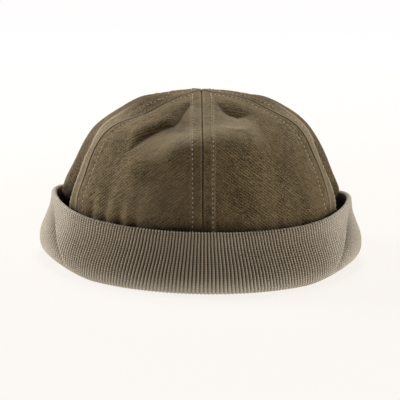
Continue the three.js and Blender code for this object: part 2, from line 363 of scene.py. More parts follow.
def buildMesh(name, points, faces, material, maps=None, attributes=None):
    mesh = bpy.data.meshes.new(name)
    sizes = np.array([len(face) for face in faces], np.int32) if isinstance(faces, list) else None
    corners = np.concatenate(faces) if sizes is not None else faces.ravel()
    if sizes is None:
        sizes = np.full(len(faces), faces.shape[1], np.int32)
    mesh.vertices.add(len(points))
    mesh.vertices.foreach_set("co", (points * millimetre).astype(np.float32).ravel())
    mesh.loops.add(len(corners))
    mesh.loops.foreach_set("vertex_index", corners.astype(np.int32))
    mesh.polygons.add(len(sizes))
    mesh.polygons.foreach_set("loop_start", np.concatenate(([0], np.cumsum(sizes)[:-1])).astype(np.int32))
    mesh.update(calc_edges=True)
    mesh.polygons.foreach_set("use_smooth", np.ones(len(sizes), bool))
    for mapName, places in (maps or {}).items():
        layer = mesh.uv_layers.new(name=mapName)
        layer.data.foreach_set("uv", places[corners].astype(np.float32).ravel())
    for attributeName, values in (attributes or {}).items():
        layer = mesh.attributes.new(attributeName, "FLOAT", "POINT")
        layer.data.foreach_set("value", values.astype(np.float32))
    mesh.validate()
    mesh.materials.append(material)
    piece = bpy.data.objects.new(name, mesh)
    bpy.context.scene.collection.objects.link(piece)
    return piece


# Crown
crown = {
    "height": 102.9,
    "halfWidth": 88.5,
    "halfLength": 96.5,
    "seamHeight": 20.9,
    "topAside": -1.4,
    "fullBack": 0.065,
    "wall": 1.6,
    "gap": 0.04,  # between two panels, down in the seam
    "seamDepth": 0.8,
    "seamHalfWidth": 0.36,
    "dipAhead": 15,
    "dipBehind": 10,
    "dipCentre": 0.29,
    "topFade": 0.16,
    "puckerDepth": 1.8,
    "puckerHalfWidth": 3.6,
    "puckerFade": 0.1,
    "puckerFull": 0.95,
    "allowanceProud": 0.55,  # the pressed-open seam allowances under the cloth
    "allowanceWidth": 8.1,
    "stitchAside": 6.7,
    "stitchSink": 0.4,
    "stitchHalfWidth": 0.7,
    "gatherDepth": 0.16,
    "gatherPitch": 4.5,
    "topLump": 1.1,
    "topLumpRadius": 5,
    "creaseRound": 0.5,  # how round a crease's bottom is
    "ledgeAside": 8.8,  # the side panels fall in behind their front seam's allowance
    "ledgeSpread": 7,
    "ledgeWall": 1.8,
    "ledgeFloor": 7,
    "ledgeEnd": 20,
    "ledgeInside": 3.5,  # the cloth's inner face turns earlier
    "ledgeProud": 0.2,  # share of the fall by which the allowance's edge stands out
    "tuckReach": 20,  # low down the fall reaches further back
    "cornerProud": 0.2,  # the crown turns a corner at the front side seams
    "cornerWidth": 9,
    "pocketShade": 0.9,
    "shelterShade": 0.3,
    "rimShade": 0.6,  # down beside the cuff's rim
    "shelfHighlight": 0.7,  # painted highlight along a crease's shelf; each crease's shade darkens its wall
    "leanSpan": 0.3,  # radians
    "slackDepth": 0.35,
    "slackPitch": 34,
}

seams = [  # lean: degrees that a seam turns by on its way down
    {"azimuth": 0.9, "dip": 0.8, "dipSpan": 0.12, "lean": 0},
    {"azimuth": 68, "dip": 4.2, "dipSpan": 0.09, "lean": -1.8},
    {"azimuth": 123, "dip": 2.6, "dipSpan": 0.1, "lean": 0},
    {"azimuth": 180, "dip": 1.2, "dipSpan": 0.12, "lean": 0},
    {"azimuth": 238, "dip": 2.6, "dipSpan": 0.1, "lean": 0},
    {"azimuth": 297, "dip": 6.6, "dipSpan": 0.107, "lean": 2.2},
]

panels = [
    {"name": "front_right", "seam": 0, "across": 180, "down": 210, "cloth": twillLeaningLeft},
    {"name": "side_right", "seam": 1, "across": 132, "down": 192, "cloth": twillLeaningRight},
    {"name": "back_right", "seam": 2, "across": 132, "down": 192, "cloth": twillLeaningLeft},
    {"name": "back_left", "seam": 3, "across": 132, "down": 192, "cloth": twillLeaningRight},
    {"name": "side_left", "seam": 4, "across": 132, "down": 192, "cloth": twillLeaningLeft},
    {"name": "front_left", "seam": 5, "across": 180, "down": 210, "cloth": twillLeaningRight},
]

meridian = [
    {"along": 0, "out": 0, "down": 0},
    {"along": 0.13, "out": 0.2, "down": 0.004},
    {"along": 0.226, "out": 0.35, "down": 0.018},
    {"along": 0.278, "out": 0.429, "down": 0.038},
    {"along": 0.33, "out": 0.504, "down": 0.075},
    {"along": 0.377, "out": 0.567, "down": 0.115},
    {"along": 0.459, "out": 0.672, "down": 0.191},
    {"along": 0.528, "out": 0.752, "down": 0.27},
    {"along": 0.609, "out": 0.822, "down": 0.384},
    {"along": 0.711, "out": 0.892, "down": 0.537},
    {"along": 0.838, "out": 0.962, "down": 0.732},
    {"along": 1, "out": 1, "down": 1},
]

# Folds and hollows in the cloth, each from one point to another; a negative depth stands proud
crownFolds = [
    {"azimuth1": -15, "along1": 0.3, "azimuth2": -21, "along2": 0.4, "depth": -1, "halfWidth": 5},
    {"azimuth1": -24, "along1": 0.42, "azimuth2": -38, "along2": 0.49, "depth": -1.4, "halfWidth": 6},
    {"azimuth1": 29, "along1": 0.25, "azimuth2": 35, "along2": 0.32, "depth": -0.8, "halfWidth": 5},
    {"azimuth1": -12, "along1": 0.42, "azimuth2": 12, "along2": 0.38, "depth": 2, "halfWidth": 9},
    {"azimuth1": -30, "along1": 0.66, "azimuth2": -16, "along2": 0.62, "depth": -2.6, "halfWidth": 10},
    {"azimuth1": -10, "along1": 0.56, "azimuth2": 26, "along2": 0.53, "depth": -3, "halfWidth": 10},
    {"azimuth1": -7, "along1": 0.79, "azimuth2": 12, "along2": 0.79, "depth": 2.6, "halfWidth": 11},
    {"azimuth1": -38, "along1": 0.86, "azimuth2": -17, "along2": 0.885, "depth": -2, "halfWidth": 9},
    {"azimuth1": 20, "along1": 0.885, "azimuth2": 38, "along2": 0.87, "depth": -0.8, "halfWidth": 8},
    {"azimuth1": 85, "along1": 0.78, "azimuth2": 88, "along2": 0.85, "depth": -1.6, "halfWidth": 11},
    {"azimuth1": -63, "along1": 0.96, "azimuth2": -63, "along2": 1, "depth": 2.4, "halfWidth": 10},
    {"azimuth1": 68, "along1": 0.96, "azimuth2": 68, "along2": 1, "depth": 2, "halfWidth": 10},
    {"azimuth1": -75, "along1": 0.3, "azimuth2": -100, "along2": 0.4, "depth": 1.8, "halfWidth": 28},
    {"azimuth1": 70, "along1": 0.36, "azimuth2": 100, "along2": 0.42, "depth": -1.8, "halfWidth": 28},
]

# Sharp creases as runs of corners. The cloth falls in on a narrow wall above the line and comes
# out again over a wide shelf below it; side says on which hand the shelf lies, and shade how much painted shade the
# wall takes.
creases = [
    {"side": 1, "wall": 3.2, "shelf": 13, "shade": 0.45, "corners": [
        {"azimuth": -12, "along": 0.235, "depth": 0.8},
        {"azimuth": -13, "along": 0.262, "depth": 2.6},
        {"azimuth": -14, "along": 0.292, "depth": 3.8},
        {"azimuth": -15.5, "along": 0.329, "depth": 4.4},
        {"azimuth": -17, "along": 0.374, "depth": 4.6},
        {"azimuth": -19, "along": 0.41, "depth": 4.2},
        {"azimuth": -24.5, "along": 0.442, "depth": 3.6},
        {"azimuth": -30, "along": 0.484, "depth": 3},
        {"azimuth": -36, "along": 0.56, "depth": 1.4},
        {"azimuth": -39, "along": 0.598, "depth": 0.2},
    ]},
    {"side": -1, "wall": 4.6, "shelf": 11, "shade": 0.3, "corners": [
        {"azimuth": 17.5, "along": 0.224, "depth": 0.8},
        {"azimuth": 18, "along": 0.255, "depth": 2},
        {"azimuth": 20, "along": 0.296, "depth": 3},
        {"azimuth": 24, "along": 0.33, "depth": 3.4},
        {"azimuth": 29, "along": 0.358, "depth": 3.2},
        {"azimuth": 34, "along": 0.367, "depth": 2.2},
        {"azimuth": 39, "along": 0.367, "depth": 1.2},
        {"azimuth": 43, "along": 0.373, "depth": 0.2},
    ]},
    {"side": -1, "wall": 4, "shelf": 2.6, "shade": 0, "corners": [
        {"azimuth": 12, "along": 0.386, "depth": -0.1},
        {"azimuth": 17, "along": 0.428, "depth": -0.8},
        {"azimuth": 21, "along": 0.461, "depth": -1.4},
        {"azimuth": 27, "along": 0.472, "depth": -1.5},
        {"azimuth": 32, "along": 0.452, "depth": -1},
        {"azimuth": 38, "along": 0.413, "depth": -0.3},
    ]},
]

# How far a side panel falls in beside its front seam
ledge = [
    {"along": 0, "depth": 0},
    {"along": 0.4, "depth": 0},
    {"along": 0.5, "depth": 1.2},
    {"along": 0.6, "depth": 2.4},
    {"along": 0.7, "depth": 4},
    {"along": 0.8, "depth": 7},
    {"along": 0.88, "depth": 9},
    {"along": 0.94, "depth": 8.4},
    {"along": 1, "depth": 0.9},
]

# Spots of painted highlight where the tone is above nought and painted shade where it is below, each from one point to
# another
paintedLightSpots = [
    {"azimuth1": -9, "along1": 0.36, "azimuth2": -10, "along2": 0.5, "tone": 0.28, "halfWidth": 9},
    {"azimuth1": 12, "along1": 0.38, "azimuth2": 26, "along2": 0.44, "tone": 0.5, "halfWidth": 10},
    {"azimuth1": -22, "along1": 0.8, "azimuth2": -12, "along2": 0.78, "tone": 0.34, "halfWidth": 16},
    {"azimuth1": -74, "along1": 0.2, "azimuth2": -92, "along2": 0.36, "tone": -0.3, "halfWidth": 13},
    {"azimuth1": 80, "along1": 0.2, "azimuth2": 95, "along2": 0.3, "tone": -0.2, "halfWidth": 12},
    {"azimuth1": -46, "along1": 0.56, "azimuth2": -43, "along2": 0.8, "tone": -0.18, "halfWidth": 8},
    {"azimuth1": 48, "along1": 0.56, "azimuth2": 46, "along2": 0.78, "tone": -0.22, "halfWidth": 9},
    {"azimuth1": -50, "along1": 0.24, "azimuth2": -66, "along2": 0.34, "tone": -0.32, "halfWidth": 7},
]

puckers = [
    {"azimuth": -52, "from": 0.8},
    {"azimuth": -43, "from": 0.78},
    {"azimuth": -34, "from": 0.82},
    {"azimuth": -27, "from": 0.86},
    {"azimuth": 33, "from": 0.86},
    {"azimuth": 47, "from": 0.83},
    {"azimuth": 84, "from": 0.86},
    {"azimuth": 108, "from": 0.85},
    {"azimuth": 143, "from": 0.85},
    {"azimuth": 163, "from": 0.86},
    {"azimuth": -163, "from": 0.86},
    {"azimuth": -143, "from": 0.85},
    {"azimuth": -108, "from": 0.85},
    {"azimuth": -84, "from": 0.86},
]


def domePoint(azimuth, along):
    out = readRows(meridian, "along", "out", along)
    down = readRows(meridian, "along", "down", along)
    height = crown["height"] - (crown["height"] - crown["seamHeight"]) * down
    points = ovalPoint(azimuth, crown["halfWidth"] * out, crown["halfLength"] * out, height, crown["fullBack"])
    points[..., 0] += crown["topAside"] * (1 - down)
    return points


def domeNormal(azimuth, along):
    step = 0.002
    higher = np.maximum(along - step, step)
    lower = np.minimum(along + step, 1)
    across = domePoint(azimuth + step, along) - domePoint(azimuth - step, along)
    down = domePoint(azimuth, lower) - domePoint(azimuth, higher)
    return unit(np.cross(down, across))


def distanceToLine(points, start, end):
    span = end - start
    share = np.clip((points - start) @ span / (span @ span), 0, 1)
    return np.linalg.norm(points - start - share[..., None] * span, axis=-1)


def cusp(distance, width):  # falls away from a sharp line
    rounding = crown["creaseRound"]
    return np.exp((rounding - np.sqrt(distance ** 2 + rounding ** 2)) / width)


def creaseShares(azimuth, along, crease):  # how deep, and the shares of its shelf and its wall
    points = domePoint(azimuth, along)
    normals = domeNormal(azimuth, along)
    nearest = np.full(points.shape[:-1], 1e9)
    depth = np.zeros(points.shape[:-1])
    shelf = np.zeros(points.shape[:-1])
    wall = np.zeros(points.shape[:-1])
    corners = crease["corners"]
    places = [domePoint(np.radians(corner["azimuth"]), np.array(corner["along"])) for corner in corners]
    for index in range(len(corners) - 1):
        start = places[index]
        span = places[index + 1] - start
        share = np.clip((points - start) @ span / (span @ span), 0, 1)
        away = points - start - share[..., None] * span
        distance = np.linalg.norm(away, axis=-1)
        onShelf = np.sum(np.cross(normals, span) * away, axis=-1) * crease["side"] > 0
        closer = distance < nearest
        depth = np.where(closer, mix(corners[index]["depth"], corners[index + 1]["depth"], share), depth)
        shelf = np.where(closer, cusp(distance, crease["shelf"]) * onShelf, shelf)
        wall = np.where(closer, cusp(distance, crease["wall"]) * ~onShelf, wall)
        nearest = np.minimum(nearest, distance)
    return depth, shelf, wall


def behindSeam(azimuth, radius):  # millimetres past a front side seam, towards the back
    side = np.sin(azimuth)
    seam = np.where(side > 0, math.radians(seams[1]["azimuth"]), math.radians(seams[5]["azimuth"] - 360))
    turned = (azimuth + math.pi) % fullTurn - math.pi
    return (turned - seam) * np.sign(side) * radius


def ledgeShare(behind, along):  # 1 where the side panel has fallen in
    fall = smoothStep(behind, -crown["ledgeWall"] / 2, crown["ledgeWall"] / 2)
    reach = crown["tuckReach"] * smoothStep(along, 0.79, 0.9)
    return fall * (1 - smoothStep(behind - reach, crown["ledgeFloor"], crown["ledgeEnd"]))


def ledgeEdge(along):  # the fall starts further from the seam higher up
    return crown["ledgeAside"] + crown["ledgeSpread"] * (1 - smoothStep(along, 0.42, 0.66))


def ledgeDepth(azimuth, along, radius, inside):
    fromSeam = behindSeam(azimuth, radius)
    behind = fromSeam - ledgeEdge(along)
    if inside:
        behind = behind + crown["ledgeInside"]
    edge = 0 if inside else bell(behind + 2.6, 2.2) * crown["ledgeProud"]
    corner = cusp(np.abs(fromSeam), crown["cornerWidth"]) * crown["cornerProud"]
    corner = corner * smoothStep(along, 0.4, 0.6)
    return readRows(ledge, "along", "depth", along) * (ledgeShare(behind, along) - edge) - corner


def nearestSeam(azimuth, radius):
    return np.min([angleBetween(azimuth, math.radians(seam["azimuth"])) * radius for seam in seams], axis=0)


def crownDepth(azimuth, along, inside):  # how far the cloth lies inside the plain dome
    points = domePoint(azimuth, along)
    radius = np.hypot(points[..., 0], points[..., 1])
    leaveTop = smoothStep(along, 0, crown["topFade"])
    depth = np.zeros(points.shape[:-1])
    for seam in seams:
        seamAzimuth = math.radians(seam["azimuth"])
        aside = angleBetween(azimuth, seamAzimuth) * radius
        behind = np.abs(np.sin(azimuth)) > abs(math.sin(seamAzimuth))
        reach = np.where(behind, crown["dipBehind"], crown["dipAhead"])
        dip = seam["dip"] * bell(along - crown["dipCentre"], seam["dipSpan"] * math.sqrt(2))
        depth += dip * bell(aside, reach) * leaveTop
    for fold in crownFolds:
        start = domePoint(np.radians(fold["azimuth1"]), np.array(fold["along1"]))
        end = domePoint(np.radians(fold["azimuth2"]), np.array(fold["along2"]))
        depth += fold["depth"] * bell(distanceToLine(points, start, end), fold["halfWidth"])
    for pucker in puckers:
        aside = angleBetween(azimuth, math.radians(pucker["azimuth"])) * radius
        grown = smoothStep(along, pucker["from"] - crown["puckerFade"], crown["puckerFull"])
        depth += crown["puckerDepth"] * bell(aside, crown["puckerHalfWidth"]) * grown
    for crease in creases:
        creaseDepth, shelf, wall = creaseShares(azimuth, along, crease)
        depth += creaseDepth * (shelf + wall)
    return depth + ledgeDepth(azimuth, along, radius, inside)


def seamRelief(azimuth, along, points):  # the sewn seams' own relief, proud of the cloth
    radius = np.hypot(points[..., 0] - crown["topAside"], points[..., 1])
    aside = nearestSeam(azimuth, radius)
    allowance = 1 - smoothStep(aside, crown["stitchAside"] + 0.3, crown["allowanceWidth"] + 0.6)
    proud = crown["allowanceProud"] * allowance
    proud -= crown["seamDepth"] * bell(aside, crown["seamHalfWidth"])
    rowHeld = smoothStep(radius, 8, 12)
    proud -= crown["stitchSink"] * bell(aside - crown["stitchAside"], crown["stitchHalfWidth"]) * rowHeld
    gathered = bell(aside - crown["stitchAside"], 4.5) * rowHeld
    proud += crown["gatherDepth"] * gathered * ripple(points, crown["gatherPitch"], 7, 11)
    proud += crown["topLump"] * bell(radius, crown["topLumpRadius"])
    return proud


def leaned(azimuth, along):
    turned = azimuth
    for seam in seams:
        near = bell(angleBetween(azimuth, math.radians(seam["azimuth"])), crown["leanSpan"])
        turned = turned + math.radians(seam["lean"]) * near * smoothStep(along, 0.45, 1)
    return turned


def crownSurface(azimuth, along, inside=0.0):
    plain = domePoint(azimuth, along)
    sunk = crownDepth(azimuth, along, inside) - crown["slackDepth"] * ripple(plain, crown["slackPitch"], 8, 5) + inside
    if inside == 0:
        sunk = sunk - seamRelief(azimuth, along, plain)
    turned = leaned(azimuth, along)
    return domePoint(turned, along) - domeNormal(turned, along) * sunk[..., None]


def gridFaces(rows, columns, start, flip=False):
    index = start + np.arange(rows * columns).reshape(rows, columns)
    square = np.stack((index[:-1, :-1], index[1:, :-1], index[1:, 1:], index[:-1, 1:]), axis=-1).reshape(-1, 4)
    return square[:, ::-1] if flip else square


def joinEdges(fine, coarse):  # triangles between two edges, several fine steps to each coarse one
    faces = []
    steps = (len(fine) - 1) // (len(coarse) - 1)
    for index in range(len(coarse) - 1):
        middle = index * steps + steps // 2
        for step in range(index * steps, (index + 1) * steps):
            anchor = coarse[index] if step < middle else coarse[index + 1]
            faces.append((fine[step], fine[step + 1], anchor))
        faces.append((coarse[index], fine[middle], coarse[index + 1]))
    return faces


def panelSpan(panel):
    first = math.radians(seams[panel["seam"]]["azimuth"])
    after = math.radians(seams[(panel["seam"] + 1) % len(seams)]["azimuth"])
    return first, (after - first) % fullTurn


meridianLength = 128.0  # along the cloth, from the top to the cuff seam


def panelGrid(panel, across, down, inside):
    first, span = panelSpan(panel)
    trim = crown["gap"] / 2
    tipRadius = trim / math.sin(span / 2)
    tipAlong = tipRadius / crown["halfWidth"] * meridian[1]["along"] / meridian[1]["out"]
    along = mix(tipAlong, 1, np.arange(1, down + 1) / down)[:, None] * np.ones(across + 1)
    share = (1 - np.cos(math.pi * np.arange(across + 1) / across)) / 2
    share = mix(share, np.arange(across + 1) / across, 0.6) * np.ones((down, 1))
    centre = domePoint(first + span * share, along)
    aside = trim / np.hypot(centre[..., 0], centre[..., 1])
    azimuth = mix(first + aside, first + span - aside, share)
    points = crownSurface(azimuth, along, inside)
    points[-1, :, 2] = crown["seamHeight"]
    tip = crownSurface(np.array([first + span / 2]), np.array([tipAlong]), inside)
    radius = np.hypot(points[..., 0], points[..., 1])
    flat = np.stack(((azimuth - first - span / 2) * radius, -along * meridianLength), axis=-1) * millimetre
    aside = nearestSeam(azimuth, radius)
    wearAndHighlight = 0.35 * bell(aside - 1.2, 0.6) + 0.4 * bell(aside - crown["stitchAside"] - 1.1, 0.8)
    fromSeam = behindSeam(azimuth, radius)
    # painted highlight on a side seam's allowance and along its raised outer edge
    inEdge = aside - ledgeEdge(along)
    edge = 1.6 * bell(inEdge + 1.4, 1.8) + 0.7 * (1 - smoothStep(inEdge, -1.8, 0.2))
    wearAndHighlight = wearAndHighlight + edge * smoothStep(along, 0.25, 0.5) * (fromSeam > 0) * ("side" in panel["name"])
    # painted shade where the side panels fall in, deep in the pocket behind the cuff, and along the cuff's rim
    behind = fromSeam - ledgeEdge(along)
    reach = crown["tuckReach"] * smoothStep(along, 0.79, 0.9)
    fallen = smoothStep(behind, -0.7, 0.7)
    pocket = fallen * (1 - smoothStep(behind - reach, 9, 26)) * smoothStep(along, 0.66, 0.88)
    sheltered = fallen * (1 - smoothStep(behind, 14, 34)) * smoothStep(along, 0.35, 0.6)
    sheltered = np.maximum(pocket * crown["pocketShade"], sheltered * crown["shelterShade"])
    byRim = crown["rimShade"] * smoothStep(along, 0.845, 0.925)
    besideFront = bell(fromSeam, 6) * (1 - smoothStep(along, 0.62, 0.92))
    line = (0.85 + 0.1 * besideFront) * bell(aside, 0.27 + 0.85 * besideFront)
    shade = np.maximum(np.maximum(line, sheltered), byRim)
    # painted highlight and painted shade from the spots
    for spot in paintedLightSpots:
        start = domePoint(np.radians(spot["azimuth1"]), np.array(spot["along1"]))
        end = domePoint(np.radians(spot["azimuth2"]), np.array(spot["along2"]))
        tone = spot["tone"] * bell(distanceToLine(centre, start, end), spot["halfWidth"])
        wearAndHighlight = wearAndHighlight + np.maximum(tone, 0)
        shade = np.maximum(shade, -tone)
    # painted highlight on each crease's shelf and painted shade on its wall
    for crease in creases:
        depth, shelf, wall = creaseShares(azimuth, along, crease)
        wearAndHighlight = wearAndHighlight + crown["shelfHighlight"] * np.clip(depth / 3, 0, 1) * shelf
        shade = np.maximum(shade, crease["shade"] * np.clip(depth / 3, 0, 1) * wall ** 0.6)
    return tip, points, flat, {"seamWear": wearAndHighlight, "seamShade": shade}


def makePanel(panel):
    coarser = 3
    across = panel["across"]
    down = panel["down"]
    tip, outer, flat, marks = panelGrid(panel, across, down, 0.0)
    insideTip, inner, innerFlat, innerMarks = panelGrid(panel, across // coarser, down // coarser, crown["wall"])
    insideTip[:, 2] = tip[:, 2] - crown["wall"]
    innerStart = 1 + outer.shape[0] * outer.shape[1]
    points = np.concatenate((tip, outer.reshape(-1, 3), insideTip, inner.reshape(-1, 3)))
    outerAt = 1 + np.arange(outer.shape[0] * outer.shape[1]).reshape(outer.shape[:2])
    innerAt = innerStart + 1 + np.arange(inner.shape[0] * inner.shape[1]).reshape(inner.shape[:2])
    faces = [tuple(face) for face in gridFaces(*outer.shape[:2], 1)]
    faces += [tuple(face) for face in gridFaces(*inner.shape[:2], innerStart + 1, flip=True)]
    faces += [(0, b, a) for a, b in zip(outerAt[0, 1:], outerAt[0, :-1])]
    faces += [(innerStart, a, b) for a, b in zip(innerAt[0, 1:], innerAt[0, :-1])]
    leftFine = [0, *outerAt[:, 0]]
    leftCoarse = [innerStart, *innerAt[:, 0]]
    rightFine = [0, *outerAt[:, -1]]
    rightCoarse = [innerStart, *innerAt[:, -1]]
    faces += joinEdges(leftFine[::-1], leftCoarse[::-1])
    faces += joinEdges(rightFine, rightCoarse)
    faces += joinEdges(list(outerAt[-1, ::-1]), list(innerAt[-1, ::-1]))
    maps = {"clothMap": np.concatenate(([[0, 0]], flat.reshape(-1, 2), [[0, 0]], innerFlat.reshape(-1, 2)))}
    attributes = {
        name: np.concatenate(([0], marks[name].ravel(), [0], innerMarks[name].ravel())) for name in marks
    }
    return buildMesh("cloth_" + panel["name"], points, faces, panel["cloth"], maps, attributes)


cloths = {panel["name"]: makePanel(panel) for panel in panels}
print("crown panels are made")


# Topstitching: each panel carries a row of stitches beside each of its two seams
topstitch = {
    "pitch": 2.75,
    "length": 1.4,
    "threadRadius": 0.29,
    "proud": 0.34,
    "turnSpread": 0.09,
    "sizeSpread": 0.08,
    "innermostRadius": 11.2,  # where two rows meet near the top
    "lowestAlong": 0.985,
    "seed": 7,
}


def addInput(tree, name, kind, value=None):
    socket = tree.interface.new_socket(name, in_out="INPUT", socket_type=kind)
    if value is not None:
        socket.default_value = value
    return socket


def applyTree(carrier, tree, values):  # runs the tree on the carrier and gives a plain mesh back
    modifier = carrier.modifiers.new(tree.name, "NODES")
    modifier.node_group = tree
    for socket in tree.interface.items_tree:
        if socket.item_type == "SOCKET" and socket.in_out == "INPUT" and socket.name in values:
            modifier[socket.identifier] = values[socket.name]
    evaluated = carrier.evaluated_get(bpy.context.evaluated_depsgraph_get())
    mesh = bpy.data.meshes.new_from_object(evaluated)
    carrier.modifiers.remove(modifier)
    return mesh


def makeStitchTree():
    tree = bpy.data.node_groups.new("topstitchRow", "GeometryNodeTree")
    addInput(tree, "Geometry", "NodeSocketGeometry")
    addInput(tree, "Pitch", "NodeSocketFloat")
    addInput(tree, "Stitch Length", "NodeSocketFloat")
    addInput(tree, "Thread Radius", "NodeSocketFloat")
    addInput(tree, "Proud", "NodeSocketFloat")
    addInput(tree, "Turn Spread", "NodeSocketFloat")
    addInput(tree, "Size Spread", "NodeSocketFloat")
    addInput(tree, "Seed", "NodeSocketInt")
    addInput(tree, "Thread", "NodeSocketMaterial")
    tree.interface.new_socket("Geometry", in_out="OUTPUT", socket_type="NodeSocketGeometry")
    make = NodeMaker(tree)
    given = make.node("NodeGroupInput")
    half = given.out("Stitch Length") * 0.5
    sunk = given.out("Thread Radius") * -1.6
    start = make.node("ShaderNodeCombineXYZ", None, {0: half * -1, 2: sunk})
    middle = make.node("ShaderNodeCombineXYZ", None, {2: given.out("Proud") * 2})
    end = make.node("ShaderNodeCombineXYZ", None, {0: half, 2: sunk})
    arch = make.node(
        "GeometryNodeCurveQuadraticBezier", None,
        {"Resolution": 6, "Start": start, "Middle": middle, "End": end},
    )
    section = make.node(
        "GeometryNodeCurvePrimitiveCircle", {"mode": "RADIUS"},
        {"Resolution": 6, "Radius": given.out("Thread Radius")},
    )
    stitch = make.node(
        "GeometryNodeCurveToMesh", None,
        {"Curve": arch, "Profile Curve": section, "Fill Caps": True},
    )
    row = make.node("GeometryNodeMeshToCurve", None, {"Mesh": given.out("Geometry")})
    row = make.node("GeometryNodeResampleCurve", {"mode": "LENGTH"}, {"Curve": row, "Length": given.out("Pitch")})
    up = make.node(
        "GeometryNodeInputNamedAttribute", {"data_type": "FLOAT_VECTOR"}, {"Name": "clothNormal"},
    )
    tangent = make.node("GeometryNodeInputTangent")
    turn = make.node(
        "FunctionNodeAxesToRotation", {"primary_axis": "Z", "secondary_axis": "X"},
        {"Primary Axis": up, "Secondary Axis": tangent},
    )
    spread = given.out("Turn Spread")
    chance = make.node(
        "FunctionNodeRandomValue", {"data_type": "FLOAT"},
        {2: spread * -1, 3: spread, "Seed": given.out("Seed")}, output=1,
    )
    skew = make.node("ShaderNodeCombineXYZ", None, {2: chance})
    turn = make.node(
        "FunctionNodeRotateRotation", {"rotation_space": "LOCAL"},
        {"Rotation": turn, "Rotate By": skew},
    )
    sizeSpread = given.out("Size Spread")
    size = make.node(
        "FunctionNodeRandomValue", {"data_type": "FLOAT"},
        {2: 1 - sizeSpread, 3: sizeSpread + 1, "Seed": given.out("Seed") + 1}, output=1,
    )
    stitches = make.node(
        "GeometryNodeInstanceOnPoints", None,
        {"Points": row, "Instance": stitch, "Rotation": turn, "Scale": size},
    )
    stitches = make.node("GeometryNodeRealizeInstances", None, {0: stitches})
    stitches = make.node(
        "GeometryNodeSetMaterial", None, {"Geometry": stitches, "Material": given.out("Thread")},
    )
    make.node("NodeGroupOutput", None, {0: stitches})
    return tree


stitchTree = makeStitchTree()


def stitchPath(panel, side):  # points and cloth normals beside one of the panel's seams
    first, span = panelSpan(panel)
    along = np.linspace(0.02, topstitch["lowestAlong"], 400)
    middle = first + span * (0.1 if side > 0 else 0.9)
    centre = domePoint(middle, along)
    radius = np.hypot(centre[..., 0] - crown["topAside"], centre[..., 1])
    kept = radius > topstitch["innermostRadius"]
    along = along[kept]
    radius = radius[kept]
    azimuth = (first if side > 0 else first + span) + side * crown["stitchAside"] / radius
    points = crownSurface(azimuth, along)
    step = 0.002
    across = crownSurface(azimuth + step, along) - crownSurface(azimuth - step, along)
    down = crownSurface(azimuth, np.minimum(along + step, 1)) - crownSurface(azimuth, along - step)
    return points, unit(np.cross(down, across))


def makeTopstitch(panel):
    rows = [stitchPath(panel, side) for side in (1, -1)]
    points = np.concatenate([row[0] for row in rows]) * millimetre
    normals = np.concatenate([row[1] for row in rows])
    edges = []
    start = 0
    for row in rows:
        edges += [(index, index + 1) for index in range(start, start + len(row[0]) - 1)]
        start += len(row[0])
    path = bpy.data.meshes.new("stitchPath")
    path.from_pydata(points.tolist(), edges, [])
    layer = path.attributes.new("clothNormal", "FLOAT_VECTOR", "POINT")
    layer.data.foreach_set("vector", normals.astype(np.float32).ravel())
    carrier = bpy.data.objects.new("stitchPath", path)
    bpy.context.scene.collection.objects.link(carrier)
    mesh = applyTree(carrier, stitchTree, {
        "Pitch": topstitch["pitch"] * millimetre,
        "Stitch Length": topstitch["length"] * millimetre,
        "Thread Radius": topstitch["threadRadius"] * millimetre,
        "Proud": topstitch["proud"] * millimetre,
        "Turn Spread": topstitch["turnSpread"],
        "Size Spread": topstitch["sizeSpread"],
        "Seed": topstitch["seed"] + panel["seam"],
        "Thread": topstitchThread,
    })
    bpy.data.objects.remove(carrier)
    mesh.name = "topstitch_" + panel["name"]
    piece = bpy.data.objects.new(mesh.name, mesh)
    bpy.context.scene.collection.objects.link(piece)
    return piece


rowsOfStitches = {panel["name"]: makeTopstitch(panel) for panel in panels}
print("topstitching is made")


# Cuff
cuff = {
    "bandThick": 3.5,
    "layerGap": 2.2,
    "rimHeight": 34.7,
    "rimSideRise": 5.5,
    "rimSidePower": 8,  # the rim stays low until near the sides
    "rimSideClearance": 1.2,
    "rimFrontClearance": 0.6,
    "foldFlareSide": 7.2,
    "foldFlareFront": 6.8,
    "foldFlatDepth": 0.35,
    "foldFlatShare": 0.62,
    "foldSideRise": 5.0,
    "lean": 0.2,
    "fullBack": 0.075,
    "creaseProud": 0.3,
    "creaseAzimuth": 82,
    "creaseTurn": 29,
    "creaseHalfWidth": 4,
    "hollowDepth": 4.2,  # behind the crease
    "hollowWall": 3.4,
    "hollowWidth": 8,
    "creaseShade": 0.85,
    "shadeWidth": 12,
    "ribCount": 270,
    "ribStretch": 0.06,  # the ribs stand closer at the front than at the ends
    "ribSwing": 9,  # the ribs lean outwards beside the front, and back again near the ends
    "swingTurn": 0.62,
    "seamGap": 0.3,
    "pointsPerRib": 6,
    "loopPitch": 1.3,
    # painted light low on the band, where the floor lights it
    "lowPaintedLight": 1.5,
    "lowFade": 11,
    "lowSmooth": 0.45,
    "insideShade": 0.85,
}
cuff["rimHalfWidth"] = crown["halfWidth"] + cuff["rimSideClearance"] + cuff["bandThick"]
cuff["rimHalfLength"] = crown["halfLength"] + cuff["rimFrontClearance"] + cuff["bandThick"]
cuff["foldHalfWidth"] = cuff["rimHalfWidth"] + cuff["foldFlareSide"]
cuff["foldHalfLength"] = cuff["rimHalfLength"] + cuff["foldFlareFront"]
cuff["foldRadius"] = cuff["bandThick"] + cuff["layerGap"] / 2

cuffFace = [
    {"up": 0, "lean": 0.04},
    {"up": 0.12, "lean": 0.0},
    {"up": 0.26, "lean": 0.02},
    {"up": 0.38, "lean": 0.16},
    {"up": 0.53, "lean": 0.46},
    {"up": 0.75, "lean": 0.85},
    {"up": 1, "lean": 1},
]


